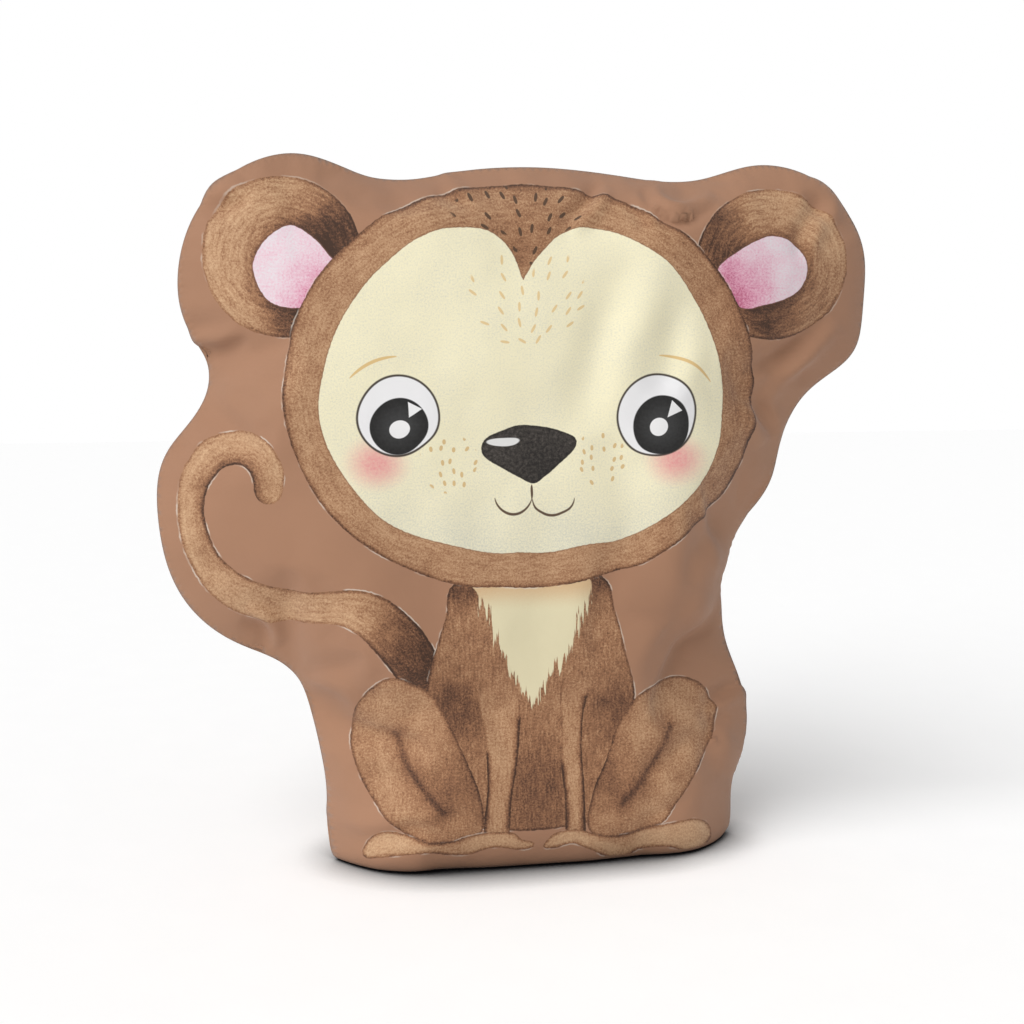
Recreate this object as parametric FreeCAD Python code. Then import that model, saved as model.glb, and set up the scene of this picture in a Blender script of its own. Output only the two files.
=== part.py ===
"""Shaped monkey cushion: two cloth panels sewn round their edge and packed with wads of fibre.

Millimetres. X runs across the front from the viewer's left to right, Y runs from the printed front
(negative) to the plain back (positive), Z is up. The origin is in the middle of the flat base.
"""
import FreeCAD
import Part
import bisect
import math
import os

V = FreeCAD.Vector

# ---- driving dimensions -------------------------------------------------------------------------
HALF_DEPTH = 52.0        # half the cushion's thickness at its crown
CLOTH = 0.8              # thickness of the cover cloth
HUB = (0.0, 215.0)       # x and z of the point that every ray to the seam starts from
CROWN_RISE = 35.0        # the plumpest point is this far above the hub, in the middle of the head
FULLNESS = 3.2           # how square the pillow's section is: 2 is an ellipse, more is fuller
HALF_WIDTH = 210.0       # the ears and the tail reach this far to the sides
LOBE_THINNING = 0.75     # share of the thickness lost out there; it grows with the square of x
SEAM_ALLOWANCE = 8.0     # width of the cloth turned inwards behind the seam
FILL_GAP = 0.5           # air between the cloth and the fibre
WAD_GAP = 1.0            # air between neighbouring wads
THREAD_R = 0.25          # sewing thread radius
THREAD_GAP = 0.03        # air between a thread and the cloth it lies on
STITCH_PITCH = 4.0       # machine stitch spacing
STITCH_LENGTH = 3.2      # length of one machine stitch
SEW_LINE = 1.6           # distance of the machine stitches from the fold of the seam
HAND_START = -39.0       # the hole the cushion was stuffed through, along the base
HAND_PITCH = 6.0         # hand stitch spacing along that hole
HAND_STITCHES = 14       # hand stitches that cross the seam
HAND_HEIGHT = 3.4        # height of the hand stitches above the base
RAYS = 108               # directions in which the seam's distance from the hub is taken
RINGS = 8                # rings of the pillow form between the seam and the crown
LAST_TURN = 86.0         # the ring next to the crown, in degrees of the section's quarter turn
HALF_SPACE = 600.0       # half the size of the boxes that stand for half spaces

# The seam line, seen from the front, anticlockwise from the right end of the base. It is drawn on
# below the floor, and the base cuts it off flat.
SEAM_OUTLINE = [
    (40, -50), (96, -43), (121, -16), (129, 24),                  # base and right foot
    (136, 74), (124, 122), (119, 150), (127, 182),                # right hip and waist
    (147, 211), (158, 243), (175, 268), (200, 292),               # right cheek
    (210.3, 336), (195, 378), (146, 400), (108, 394.5),           # right ear
    (80, 390.5), (42, 394.5), (0, 396.5), (-38, 393.5),           # crown of the head
    (-68, 388.5), (-100, 394), (-134, 400), (-175, 382.5),        # left ear
    (-196, 333), (-188, 297), (-182, 277), (-189, 258),           # hollow over the tail
    (-207, 231), (-210, 200), (-198, 157), (-166, 128.5),         # tail lobe
    (-140, 114), (-125, 78), (-119, 38), (-112, -10), (-88, -41), (-40, -50),  # left hip and foot
]

# Where the wads meet, each as two points (x, z). The named wad is on the left going from the first
# point to the second.
LEFT_EAR_CUT = ((-182, 272), (-62, 388))
RIGHT_EAR_CUT = ((74, 391), (180, 262))
TAIL_CUT = ((-132, 100), (-182, 281))
HEAD_CUT = ((-150, 118), (140, 150))


# ---- the seam as a distance from the hub ------------------------------------------------------------
def outline_samples(inset, count=1600):
    """Points (x, z) along the seam, moved inwards by inset."""
    curve = Part.BSplineCurve()
    curve.interpolate([V(x, 0, z) for x, z in SEAM_OUTLINE], PeriodicFlag=True)
    low, high = curve.FirstParameter, curve.LastParameter
    samples = []
    for i in range(count):
        parameter = low + (high - low) * i / count
        point = curve.value(parameter)
        along = curve.tangent(parameter)[0]
        samples.append((point.x - inset * along.z, point.z + inset * along.x))
    return samples


def polar(point):
    """A point (x, z) as its direction and distance from the hub."""
    dx, dz = point[0] - HUB[0], point[1] - HUB[1]
    return math.atan2(dz, dx) % (2 * math.pi), math.hypot(dx, dz)


def rays(inset):
    """(direction, distance) to the seam moved in by inset, for RAYS directions from the hub."""
    samples = outline_samples(0.0)
    step = len(samples) / RAYS
    directions = [polar(samples[int(i * step)])[0] for i in range(RAYS)]
    table = sorted(polar(point) for point in outline_samples(inset))
    keys = [direction for direction, _ in table]
    found = []
    for direction in directions:
        after = bisect.bisect(keys, direction) % len(table)
        a0, r0 = table[after - 1]
        a1, r1 = table[after]
        span = max((a1 - a0) % (2 * math.pi), 1e-9)
        share = ((direction - a0) % (2 * math.pi)) / span
        found.append((direction, r0 + (r1 - r0) * share))
    return found


def closed_wire(points):
    curve = Part.BSplineCurve()
    curve.interpolate(points, PeriodicFlag=True)
    return Part.Wire(curve.toShape())


# ---- the pillow form ---------------------------------------------------------------------------------
def share_of_reach(turn):
    """How far out along its ray a ring lies, from the quarter turn of the section."""
    return math.cos(turn) ** (2 / FULLNESS)


def ring(turn, reach, half_depth):
    """One ring of the pillow form: the seam shrunk towards the crown and lifted off the seam plane."""
    last = math.radians(LAST_TURN)
    share = share_of_reach(turn)
    outwards = (share - share_of_reach(last)) / (1 - share_of_reach(last))
    height = half_depth * math.sin(turn) / math.sin(last)
    centre_z = HUB[1] + CROWN_RISE * (1 - share)
    points = []
    for direction, distance in reach:
        x = HUB[0] + share * distance * math.cos(direction)
        z = centre_z + share * distance * math.sin(direction)
        thinning = 1 - LOBE_THINNING * outwards * (x / HALF_WIDTH) ** 2
        points.append(V(x, height * thinning, z))
    return closed_wire(points)


def half_pillow(inset):
    """The back half of the stuffed form, shrunk by inset all round and cut flat at the base."""
    reach = rays(inset)
    turns = [math.radians(LAST_TURN * i / RINGS) for i in range(RINGS + 1)]
    form = Part.makeLoft([ring(turn, reach, HALF_DEPTH - inset) for turn in turns], True, False)
    return form.common(above(inset))


def facing(shape, side):
    """A shape made for the back, as it is for side 1 or mirrored to the front for side -1."""
    return shape if side > 0 else shape.mirror(V(0, 0, 0), V(0, 1, 0))


def above(z):
    """The space above a height."""
    return Part.makeBox(2 * HALF_SPACE, 2 * HALF_SPACE, HALF_SPACE, V(-HALF_SPACE, -HALF_SPACE, z))


def seam_plate(inset, y0, y1):
    """The area inside the seam moved in by inset, as a plate from y0 to y1."""
    wire = closed_wire([
        V(HUB[0] + distance * math.cos(direction), y0, HUB[1] + distance * math.sin(direction))
        for direction, distance in rays(inset)
    ])
    return Part.Face(wire).extrude(V(0, y1 - y0, 0)).common(above(inset))


def seam_band(outer, inner, y0, y1):
    """A flat band that follows the seam, between two distances from it."""
    return seam_plate(outer, y0, y1).cut(seam_plate(inner, y0 - 1, y1 + 1))


# ---- cover --------------------------------------------------------------------------------------------
def back_half_cover():
    """The back half of the cover with its edge turned inwards."""
    skin = half_pillow(0).cut(half_pillow(CLOTH))
    turned_edge = seam_band(CLOTH / 2, CLOTH + SEAM_ALLOWANCE, 0, CLOTH)
    return skin.fuse(turned_edge).removeSplitter().cut(hand_needle_holes())


def sewing_path():
    """Pairs of neighbouring points along the machine seam, which leaves out the stuffing hole."""
    inset = CLOTH + SEW_LINE
    plate = seam_plate(inset, 0, 1)
    flat = next(f for f in plate.Faces if f.BoundBox.YLength < 0.01 and abs(f.BoundBox.YMin) < 0.01)
    edge = flat.OuterWire
    points = edge.discretize(Number=int(edge.Length / STITCH_PITCH))
    hand_end = HAND_START + HAND_PITCH * HAND_STITCHES
    return [
        (a, b) for a, b in zip(points, points[1:])
        if not (a.z < inset + 1 and HAND_START - STITCH_PITCH < a.x < hand_end)
    ]


def machine_thread(side):
    """One of the lockstitch's two threads: a row of stitches lying on a turned edge."""
    y = side * (CLOTH + THREAD_R + THREAD_GAP)
    stitches = []
    for a, b in sewing_path():
        along = (b - a).normalize()
        middle = (a + b) / 2
        start = V(middle.x, y, middle.z) - along * (STITCH_LENGTH / 2)
        stitches.append(Part.makeCylinder(THREAD_R, STITCH_LENGTH, start, along))
    return Part.makeCompound(stitches)


def hand_stitch_places():
    """The x of each hand stitch that crosses the seam."""
    return [HAND_START + HAND_PITCH * i for i in range(HAND_STITCHES)]


def rod(a, b, radius):
    return Part.makeCylinder(radius, (b - a).Length, a, b - a)


def hand_thread():
    """The thread that shuts the stuffing hole: it runs to and fro through both turned edges."""
    y = CLOTH + THREAD_R + THREAD_GAP
    corners = []
    for i, x in enumerate(hand_stitch_places()):
        side = 1 if i % 2 else -1
        corners += [V(x, side * y, HAND_HEIGHT), V(x, -side * y, HAND_HEIGHT)]
    thread = Part.makeSphere(THREAD_R, corners[0])
    for a, b in zip(corners, corners[1:]):
        thread = thread.fuse([rod(a, b, THREAD_R), Part.makeSphere(THREAD_R, b)])
    return thread.removeSplitter()


def hand_needle_holes():
    """The holes the hand stitches go through."""
    reach = 2 * CLOTH
    return Part.makeCompound([
        rod(V(x, -reach, HAND_HEIGHT), V(x, reach, HAND_HEIGHT), THREAD_R + THREAD_GAP)
        for x in hand_stitch_places()
    ])


# ---- fibre ----------------------------------------------------------------------------------------------
def beside(cut):
    """The space to the left of a cut, seen from the front, less half the gap between wads."""
    (x0, z0), (x1, z1) = cut
    space = above(WAD_GAP / 2)
    space.rotate(V(0, 0, 0), V(0, 1, 0), -math.degrees(math.atan2(z1 - z0, x1 - x0)))
    space.translate(V((x0 + x1) / 2, 0, (z0 + z1) / 2))
    return space


def wad(fibre, inside, outside=()):
    """The fibre on the left of every cut in inside and on the right of every cut in outside."""
    spaces = [beside(cut) for cut in inside] + [beside(cut[::-1]) for cut in outside]
    for space in spaces:
        fibre = fibre.common(space)
    return fibre


def fibre_block():
    """All the fibre in one, with a groove round its edge where the turned edges of the cloth lie."""
    half = half_pillow(CLOTH + FILL_GAP)
    room = CLOTH + 2 * THREAD_R + FILL_GAP
    groove = seam_band(0, CLOTH + SEAM_ALLOWANCE + FILL_GAP, -room, room)
    return half.fuse(facing(half, -1)).removeSplitter().cut(groove)


def build():
    cover = back_half_cover()
    fibre = fibre_block()
    return {
        "front_panel": facing(cover, -1),
        "back_panel": facing(cover, 1),
        "needle_thread": machine_thread(-1),
        "bobbin_thread": machine_thread(1),
        "closing_thread": hand_thread(),
        "left_ear_fill": wad(fibre, [LEFT_EAR_CUT]),
        "right_ear_fill": wad(fibre, [RIGHT_EAR_CUT]),
        "tail_fill": wad(fibre, [TAIL_CUT, HEAD_CUT], [LEFT_EAR_CUT]),
        "head_fill": wad(fibre, [HEAD_CUT], [TAIL_CUT, LEFT_EAR_CUT, RIGHT_EAR_CUT]),
        "torso_fill": wad(fibre, [], [HEAD_CUT]),
    }


def main():
    os.makedirs("parts", exist_ok=True)
    for name, shape in build().items():
        state = "valid" if shape.isValid() else "INVALID"
        box = shape.BoundBox
        corners = [round(v, 1) for v in (box.XMin, box.YMin, box.ZMin, box.XMax, box.YMax, box.ZMax)]
        print(name, state, len(shape.Solids), "solids", round(shape.Volume), "mm3", corners)
        shape.exportStep(f"parts/{name}.step")


main()
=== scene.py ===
import math

import bmesh
import bpy
import numpy as np
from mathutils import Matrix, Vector, geometry
from mathutils import noise as perlin
from mathutils.bvhtree import BVHTree
from mathutils.kdtree import KDTree


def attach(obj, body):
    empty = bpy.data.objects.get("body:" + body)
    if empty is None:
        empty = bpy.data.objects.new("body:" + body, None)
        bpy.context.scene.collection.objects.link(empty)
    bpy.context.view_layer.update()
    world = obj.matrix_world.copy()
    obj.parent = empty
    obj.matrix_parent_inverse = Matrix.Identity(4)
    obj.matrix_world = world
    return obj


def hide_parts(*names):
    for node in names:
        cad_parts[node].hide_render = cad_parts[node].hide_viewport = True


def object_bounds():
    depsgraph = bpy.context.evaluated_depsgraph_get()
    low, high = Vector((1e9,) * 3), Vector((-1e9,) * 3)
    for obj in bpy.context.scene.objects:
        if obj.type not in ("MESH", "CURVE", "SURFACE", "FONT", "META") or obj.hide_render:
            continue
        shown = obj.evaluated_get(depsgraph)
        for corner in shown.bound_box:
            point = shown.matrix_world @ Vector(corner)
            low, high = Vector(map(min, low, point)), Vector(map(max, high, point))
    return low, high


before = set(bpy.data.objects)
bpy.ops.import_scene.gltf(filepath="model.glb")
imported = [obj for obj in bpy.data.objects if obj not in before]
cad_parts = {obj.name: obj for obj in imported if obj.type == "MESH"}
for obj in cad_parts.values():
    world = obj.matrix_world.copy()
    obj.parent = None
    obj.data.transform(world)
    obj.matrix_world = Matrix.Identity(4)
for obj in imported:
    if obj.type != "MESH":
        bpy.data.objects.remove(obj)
cad_low, cad_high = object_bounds()

MM = 0.001
SEED = 11

# ---- the pattern and the filling ----
CELL = 4.5 * MM            # spacing of the cloth's points in the simulation
CUT_EASE = 1.04            # the flat pattern is cut this much larger than the finished outline
FOOT_ROUNDING = 22 * MM    # height at which the lower corners start to round
FOOT_SQUARENESS = 6        # 2 would make the foot of the pattern an ellipse, more makes it a box
START_LIFT = 12 * MM       # how far apart the flat panels start
START_SLOPE = 15 * MM      # distance from the seam over which they part
PRESSURE = 3
STRETCH_STIFFNESS = 15
SHEAR_STIFFNESS = 5
STIFF = {"frames": 25, "bending": 12}
SOFT = {"frames": 7, "bending": 0.5}

# ---- the cover's shape ----
HUB = Vector((0.0, 0.0, 0.5375 * cad_high.z))   # the outline is star-shaped about this point
BASE_FULLNESS = 1.22       # the soft base bulges this much deeper than the CAD base
FOOT_REACH = 100 * MM      # height up to which the cover is drawn out to the depth of the base
FLOOR_SOFTNESS = 2.2 * MM  # how softly the cloth turns from the side onto the floor
FLOOR_GRIP = 12 * MM       # below this height the wrinkles don't change a point's height
CLOTH = 0.7 * MM
TURNED_EDGE = 8 * MM       # width of the seam allowance inside
SEAM_GAP = 0.06 * MM       # from each panel's turned edge to the seam's plane
SEAM_SWAY = 2.6 * MM       # how far the seam wanders from its plane
SWAY_REACH = 24 * MM       # how far into the panels that wandering is felt
GROOVE = 0.9 * MM          # the hand-sewn stitches pull the base up by this much
FILLING_HOLE = 46 * MM     # half the length of the hand-sewn part of the seam

# ---- threads and wads ----
STITCH = 4 * MM
STITCH_INSET = 3.6 * MM    # from the folded edge to the machine stitches
STITCH_STAND = 0.5 * MM    # how far they stand off the allowance they sit on
PINCHES = 340              # dimples along the seam
HAND_STITCHES = 14
HAND_PITCH = 6 * MM
WAD_CELL = 5 * MM
WAD_CLEARANCE = 6 * MM     # between the wads and the cover
RIM_CLEARANCE = TURNED_EDGE + 2.5 * MM   # between the wads and the seam

# ---- laying on the print ----
PRINT_CALM = 0.8           # how much of the small wrinkles the print ignores
PRINT_CALM_ROUNDS = 40
UNDERSIDE_DROP = 80 * MM   # the underside counts as this far below the picture, so it stays plain
UNDERSIDE = (3.5 * MM, 1.2 * MM)   # heights between which that comes in

# ---- the photograph's viewpoint, and the light ----
EYE = Vector((-0.2277, -0.9245, 0.2995))
YAW, PITCH = math.radians(13.3), math.radians(6.01)
LENS = 57.87
AMBIENT = 0.38             # brightness of the studio all round
KEY = 2.6                  # strength of the soft light from the upper left
KEY_FROM = Vector((-0.68, -0.55, 0.8))
KEY_SPREAD = math.radians(50)
FLOOR_GLOW = 0.12          # keeps the floor as white as the background
CONTACT_REACH = 40 * MM    # how far from the base the floor's colour and glow are darkened: a painted contact shadow
DYE = (0.89, 0.88, 0.86, 1.0)   # how much of the light the printed colours give back


# ==== numpy helpers ====
def spline(points, closed=True, steps=5):
    """A smooth curve through the points, as a polyline."""
    p = np.array(points, float)
    if closed:
        p = np.vstack([p[-1:], p, p[:2]])
    else:
        p = np.vstack([2 * p[0] - p[1], p, 2 * p[-1] - p[-2]])
    t = np.linspace(0, 1, steps, endpoint=False)[:, None]
    pieces = []
    for a, b, c, d in zip(p, p[1:], p[2:], p[3:]):
        pieces.append(b + 0.5 * t * (c - a + t * (2 * a - 5 * b + 4 * c - d + t * (3 * (b - c) + d - a))))
    if not closed:
        pieces.append(p[-2:-1])
    return np.vstack(pieces)


def nearest_on(points, line, closed):
    """For each point: distance to the polyline, and how far along it the nearest place is, from 0 to 1."""
    ends = np.roll(line, -1, 0) if closed else line[1:]
    starts = line[:len(ends)]
    lengths = np.linalg.norm(ends - starts, axis=1)
    before = np.r_[0, np.cumsum(lengths)]
    best = np.full(len(points), np.inf)
    place = np.zeros(len(points))
    for a, b, length, run in zip(starts, ends, lengths, before):
        if length == 0:
            continue
        t = np.clip((points - a) @ (b - a) / length ** 2, 0, 1)
        d = np.linalg.norm(points - a - t[:, None] * (b - a), axis=1)
        closer = d < best
        best[closer] = d[closer]
        place[closer] = (run + t * length)[closer]
    return best, place / before[-1]


def is_inside(points, outline):
    x, z = points.T
    result = np.zeros(len(points), bool)
    for (x0, z0), (x1, z1) in zip(outline, np.roll(outline, -1, 0)):
        if z0 != z1:
            result ^= ((z0 > z) != (z1 > z)) & (x < (x1 - x0) * (z - z0) / (z1 - z0) + x0)
    return result


def depth_in(points, outline):
    """Distance to a closed outline: positive inside, negative outside."""
    distance, _ = nearest_on(points, outline, True)
    return np.where(is_inside(points, outline), distance, -distance)


def resample(outline, spacing):
    closed = np.vstack([outline, outline[:1]])
    run = walked(closed)
    at = np.arange(0, run[-1], run[-1] / round(run[-1] / spacing))
    return np.array([np.interp(at, run, closed[:, i]) for i in (0, 1)]).T


def smoothstep(x, low, high):
    """0 at low, 1 at high, and smooth between; high may be the smaller of the two."""
    t = np.clip((x - low) / (high - low), 0, 1)
    return t * t * (3 - 2 * t)


def ironed(loop, rounds):
    """Values along a closed loop, each averaged with its neighbours, round after round."""
    for _ in range(rounds):
        loop = (np.roll(loop, 1, 0) + 2 * loop + np.roll(loop, -1, 0)) / 4
    return loop


def walked(line):
    """Distance walked along a polyline to each of its points."""
    return np.r_[0, np.cumsum(np.linalg.norm(np.diff(line, axis=0), axis=1))]


# ==== the pattern ====
def seam_outline(node):
    """The CAD cover's outline (x, z), taken from the flat face where the two panels meet."""
    bm = bmesh.new()
    bm.from_mesh(node.data)
    bmesh.ops.remove_doubles(bm, verts=bm.verts, dist=2e-6)
    flat = {f for f in bm.faces if all(abs(v.co.y) < 2e-5 for v in f.verts)}
    links = {}
    for f in flat:
        for e in f.edges:
            if sum(g in flat for g in e.link_faces) == 1:
                a, b = e.verts
                links.setdefault(a, []).append(b)
                links.setdefault(b, []).append(a)
    v = max(links, key=lambda v: v.co.x)
    loop = [v]
    while len(loop) < 2 or v is not loop[0]:
        v = next((w for w in links[v] if w not in loop[-2:]), loop[0])
        loop.append(v)
    points = np.array([(v.co.x, v.co.z) for v in loop[:-1]])
    bm.free()
    x, z = points.T
    turning = np.sum(x * np.roll(z, -1) - np.roll(x, -1) * z)
    return points if turning > 0 else points[::-1]


def cad_base_depth():
    """Half the depth of the flat base of the CAD cover."""
    return -min(v.co.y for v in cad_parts["front_panel"].data.vertices if v.co.z < MM)


def pattern_outline():
    """The panel's cut line: the CAD outline, with a rounded foot that folds under to make the base."""
    side = seam_outline(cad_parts["front_panel"])
    side = side[side[:, 1] > FOOT_ROUNDING]
    gap = np.argmax(np.linalg.norm(np.roll(side, -1, 0) - side, axis=1))
    side = np.roll(side, -(gap + 1), axis=0)
    (right, z), (left, _) = side[0], side[-1]
    t = np.linspace(-1, 1, 90)[1:-1]
    drop = (z + cad_base_depth()) * np.sqrt(1 - np.abs(t) ** FOOT_SQUARENESS)
    foot = np.array([(left + right) / 2 + t * (right - left) / 2, z - drop]).T
    return resample(ironed(resample(np.vstack([side, foot]), MM), 30), CELL)


def pattern_mesh(rim):
    """Evenly spread points inside the rim, and the triangles that join them all."""
    row = CELL * math.sqrt(3) / 2
    low, high = rim.min(0), rim.max(0)
    rows = [
        np.array([(x, z) for x in np.arange(low[0] + (i % 2) * CELL / 2, high[0], CELL)])
        for i, z in enumerate(np.arange(low[1], high[1], row))
    ]
    inner = np.vstack(rows)
    inner = inner[is_inside(inner, rim)]
    inner = inner[nearest_on(inner, rim, True)[0] > 0.6 * CELL]
    n = len(rim)
    edges = [(i, (i + 1) % n) for i in range(n)]
    points = [Vector(p) for p in np.vstack([rim, inner])]
    faces = geometry.delaunay_2d_cdt(points, edges, [], 1, 1e-7)[2]
    return inner, np.array([list(f) for f in faces])


# ==== simulation ====
def run_cloth(obj, frames, bending, rest=None):
    """Blows the closed cover up like a filled cushion. rest is its unstretched shape, if not its own."""
    if rest is not None:
        obj.shape_key_add(name="Basis")
        key = obj.shape_key_add(name="flat")
        key.data.foreach_set("co", rest.ravel())
    cloth = obj.modifiers.new("Cloth", "CLOTH")
    s = cloth.settings
    if rest is not None:
        s.rest_shape_key = key
    s.quality = 4
    s.mass = 0.3
    s.bending_model = "ANGULAR"
    s.tension_stiffness = s.compression_stiffness = STRETCH_STIFFNESS
    s.shear_stiffness = SHEAR_STIFFNESS
    s.bending_stiffness = bending
    s.use_pressure = True
    s.uniform_pressure_force = PRESSURE
    s.effector_weights.gravity = 0
    cloth.point_cache.frame_start, cloth.point_cache.frame_end = 1, frames
    for i in range(1, frames + 1):
        bpy.context.scene.frame_set(i)
    shaped = obj.evaluated_get(bpy.context.evaluated_depsgraph_get()).data
    points = positions(shaped)
    data = obj.data
    bpy.data.objects.remove(obj)
    bpy.data.meshes.remove(data)
    return points


def new_object(name, points, faces):
    mesh = bpy.data.meshes.new(name)
    mesh.from_pydata([tuple(p) for p in points], [], [tuple(f) for f in faces])
    mesh.update()
    obj = bpy.data.objects.new(name, mesh)
    bpy.context.scene.collection.objects.link(obj)
    return obj


def simulate(rim, inner, sewn):
    """Both panels sewn at the rim and filled: stiff cloth for the broad form, then soft for its creases."""
    n = len(rim)
    hub = np.array([HUB.x, HUB.z])
    flat = (np.vstack([rim, inner, inner]) - hub) * CUT_EASE + hub
    lift = START_LIFT * (1 - np.exp(-nearest_on(inner, rim, True)[0] / START_SLOPE))
    start = np.insert(flat, 1, np.r_[np.zeros(n), -lift, lift], axis=1)
    stiff = run_cloth(new_object("sim", start, sewn), **STIFF)
    return run_cloth(new_object("sim", stiff, sewn), **SOFT, rest=start * (1, 0, 1))


# ==== fitting to the CAD model ====
def turned(points):
    """Directions and distances from the hub, in the plane of the seam."""
    d = points[:, [0, -1]] - (HUB.x, HUB.z)
    return np.arctan2(d[:, 1], d[:, 0]) % (2 * math.pi), np.hypot(*d.T)


def wave(t, cycles, seed):
    """A seamless irregular ripple along the seam, t from 0 to 1, roughly between -1 and 1."""
    draw = np.random.default_rng(seed)
    total = np.zeros_like(t)
    for k in cycles:
        total += draw.uniform(0.5, 1) * np.cos(2 * math.pi * (k * t + draw.uniform()))
    return total / math.sqrt(len(cycles))


def sway_seam(points, rim, inner):
    """Lets the seam wander a little to the front and the back, as a filled cover's seam does."""
    distance, run = nearest_on(np.vstack([rim, inner, inner]), rim, True)
    run[:len(rim)] = np.arange(len(rim)) / len(rim)
    swayed = points.copy()
    swayed[:, 1] += SEAM_SWAY * wave(run, (5, 8, 13, 19, 27), SEED + 2) * np.exp(-distance / SWAY_REACH)
    return swayed


def base_widening(points):
    """How much deeper each point's slice across the cushion must be for the base to have the CAD depth."""
    foot = points[np.abs(points[:, 2]) < 5 * MM]
    left, right = foot[:, 0].min(), foot[:, 0].max()
    slices = np.linspace(left, right, 23)[1:-1]
    actual = np.array([np.abs(foot[np.abs(foot[:, 0] - x) < 7 * MM, 1]).max() for x in slices])
    across = (2 * slices - left - right) / (right - left)
    wanted = BASE_FULLNESS * cad_base_depth() * np.sqrt(1 - np.abs(across) ** 10)
    return np.interp(points[:, 0], slices, np.clip(wanted / actual, 0.9, 2.4))


def fit_to_frame(points, rim):
    """Stretches the filled cover until its seam follows the CAD outline and its depth is the CAD depth."""
    steps = np.radians(np.arange(360))

    def reach(line):
        direction, distance = turned(line)
        order = np.argsort(direction)
        return np.interp(steps, direction[order], distance[order], period=2 * math.pi)

    ratio = ironed(reach(rim) / reach(points[:len(rim)]), 25)
    direction, _ = turned(points)
    stretch = np.interp(direction, steps, ratio, period=2 * math.pi)
    fitted = points.copy()
    fitted[:, 0] = HUB.x + (points[:, 0] - HUB.x) * stretch
    fitted[:, 2] = HUB.z + (points[:, 2] - HUB.z) * stretch
    fitted[:, 1] *= cad_high.y / np.abs(points[:, 1]).max()
    z = fitted[:, 2]
    fitted[:, 1] *= 1 + (base_widening(fitted) - 1) * smoothstep(z, FOOT_REACH, 0)
    fitted[:, 2] = (z + np.sqrt(z ** 2 + 4 * FLOOR_SOFTNESS ** 2)) / 2
    fitted[:, 2] -= fitted[:, 2].min()
    return fitted


# ==== panels ====
def print_place(points):
    """Where the line of sight through each point meets the plane of the seam, in millimetres."""
    t = EYE.y / (EYE.y - points[:, 1])
    return np.array([EYE.x + (points[:, 0] - EYE.x) * t, EYE.z + (points[:, 2] - EYE.z) * t]).T / MM


def put(mesh, name, values):
    """Stores a number or a vector for each vertex."""
    values = np.asarray(values, float)
    kind, prop = ("FLOAT", "value") if values.ndim == 1 else ("FLOAT_VECTOR", "vector")
    if values.ndim == 2 and values.shape[1] == 2:
        values = np.insert(values, 2, 0, axis=1)
    mesh.attributes.new(name, kind, "POINT").data.foreach_set(prop, values.astype(np.float32).ravel())


def read(collection, name):
    """A three-part property of every item, as rows."""
    values = np.zeros(len(collection) * 3, np.float32)
    collection.foreach_get(name, values)
    return values.reshape(-1, 3).astype(float)


def get(mesh, name):
    return read(mesh.attributes[name].data, "vector")


def positions(mesh):
    return read(mesh.vertices, "co")


def vertex_normals(mesh):
    return read(mesh.vertex_normals, "vector")


def move_to(mesh, points):
    mesh.vertices.foreach_set("co", points.astype(np.float32).ravel())
    mesh.update()


def turned_in(rim, side):
    """The rim and two rows inside it: the seam allowance, lying just beside the seam's plane."""
    along = np.roll(rim, -1, 0) - np.roll(rim, 1, 0)
    inward = np.zeros_like(rim)
    inward[:, [0, 2]] = np.array([-along[:, 2], along[:, 0]]).T
    inward = ironed(inward / np.linalg.norm(inward, axis=1)[:, None], 6)
    return [rim + inward * TURNED_EDGE * k + (0, side * SEAM_GAP, 0) for k in (0, 0.45, 1)]


def note_pattern(mesh, rim, inner):
    """Stores each point's place on the flat cloth, its distance from the seam, and how far along it it is."""
    n = len(rim)
    ring = np.arange(n) / n
    distance, run = nearest_on(inner, rim, True)
    put(mesh, "cloth", np.vstack([rim, inner, rim, rim]) / MM)
    depth = np.r_[np.zeros(n), distance, np.full(2 * n, -TURNED_EDGE)] / MM
    put(mesh, "seam", np.array([depth, np.r_[ring, run, ring, ring]]).T)


def panel(name, points, faces, pattern, side):
    """One panel, folded hard at the seam, its edge turned in. side is -1 for the front, 1 for the back."""
    n = len(pattern[0])
    fold = turned_in(points[:n], side)
    rows = [np.arange(n)] + [len(points) + n * k + np.arange(n) for k in (0, 1)]
    ribbon = [
        (a[i], b[i], b[(i + 1) % n], a[(i + 1) % n])
        for a, b in zip(rows, rows[1:])
        for i in range(n)
    ]
    skin = [*faces, *ribbon]
    if side > 0:
        skin = [face[::-1] for face in skin]
    obj = new_object(name, np.vstack([fold[0], points[n:], fold[1], fold[2]]), skin)
    mesh = obj.data
    note_pattern(mesh, *pattern)
    crease = mesh.attributes.new("crease_edge", "FLOAT", "EDGE")
    ends = [tuple(e.vertices) for e in mesh.edges]
    on_rim = [max(a, b) < n and abs(a - b) in (1, n - 1) for a, b in ends]
    crease.data.foreach_set("value", np.array(on_rim, np.float32))
    finer = obj.modifiers.new("Finer", "SUBSURF")
    finer.levels = 1
    finer.boundary_smooth = "PRESERVE_CORNERS"
    apply_modifiers(obj)
    exact = positions(obj.data)
    calm = exact
    for _ in range(PRINT_CALM_ROUNDS):
        calm = eased(obj.data, calm)
    calm = exact + (calm - exact) * PRINT_CALM
    calm[:, 2] -= UNDERSIDE_DROP * smoothstep(exact[:, 2], *UNDERSIDE)
    put(obj.data, "print", print_place(calm))
    return obj


def apply_modifiers(obj):
    shaped = bpy.data.meshes.new_from_object(obj.evaluated_get(bpy.context.evaluated_depsgraph_get()))
    old = obj.data
    obj.modifiers.clear()
    obj.data = shaped
    bpy.data.meshes.remove(old)
    shaped.shade_smooth()


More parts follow.
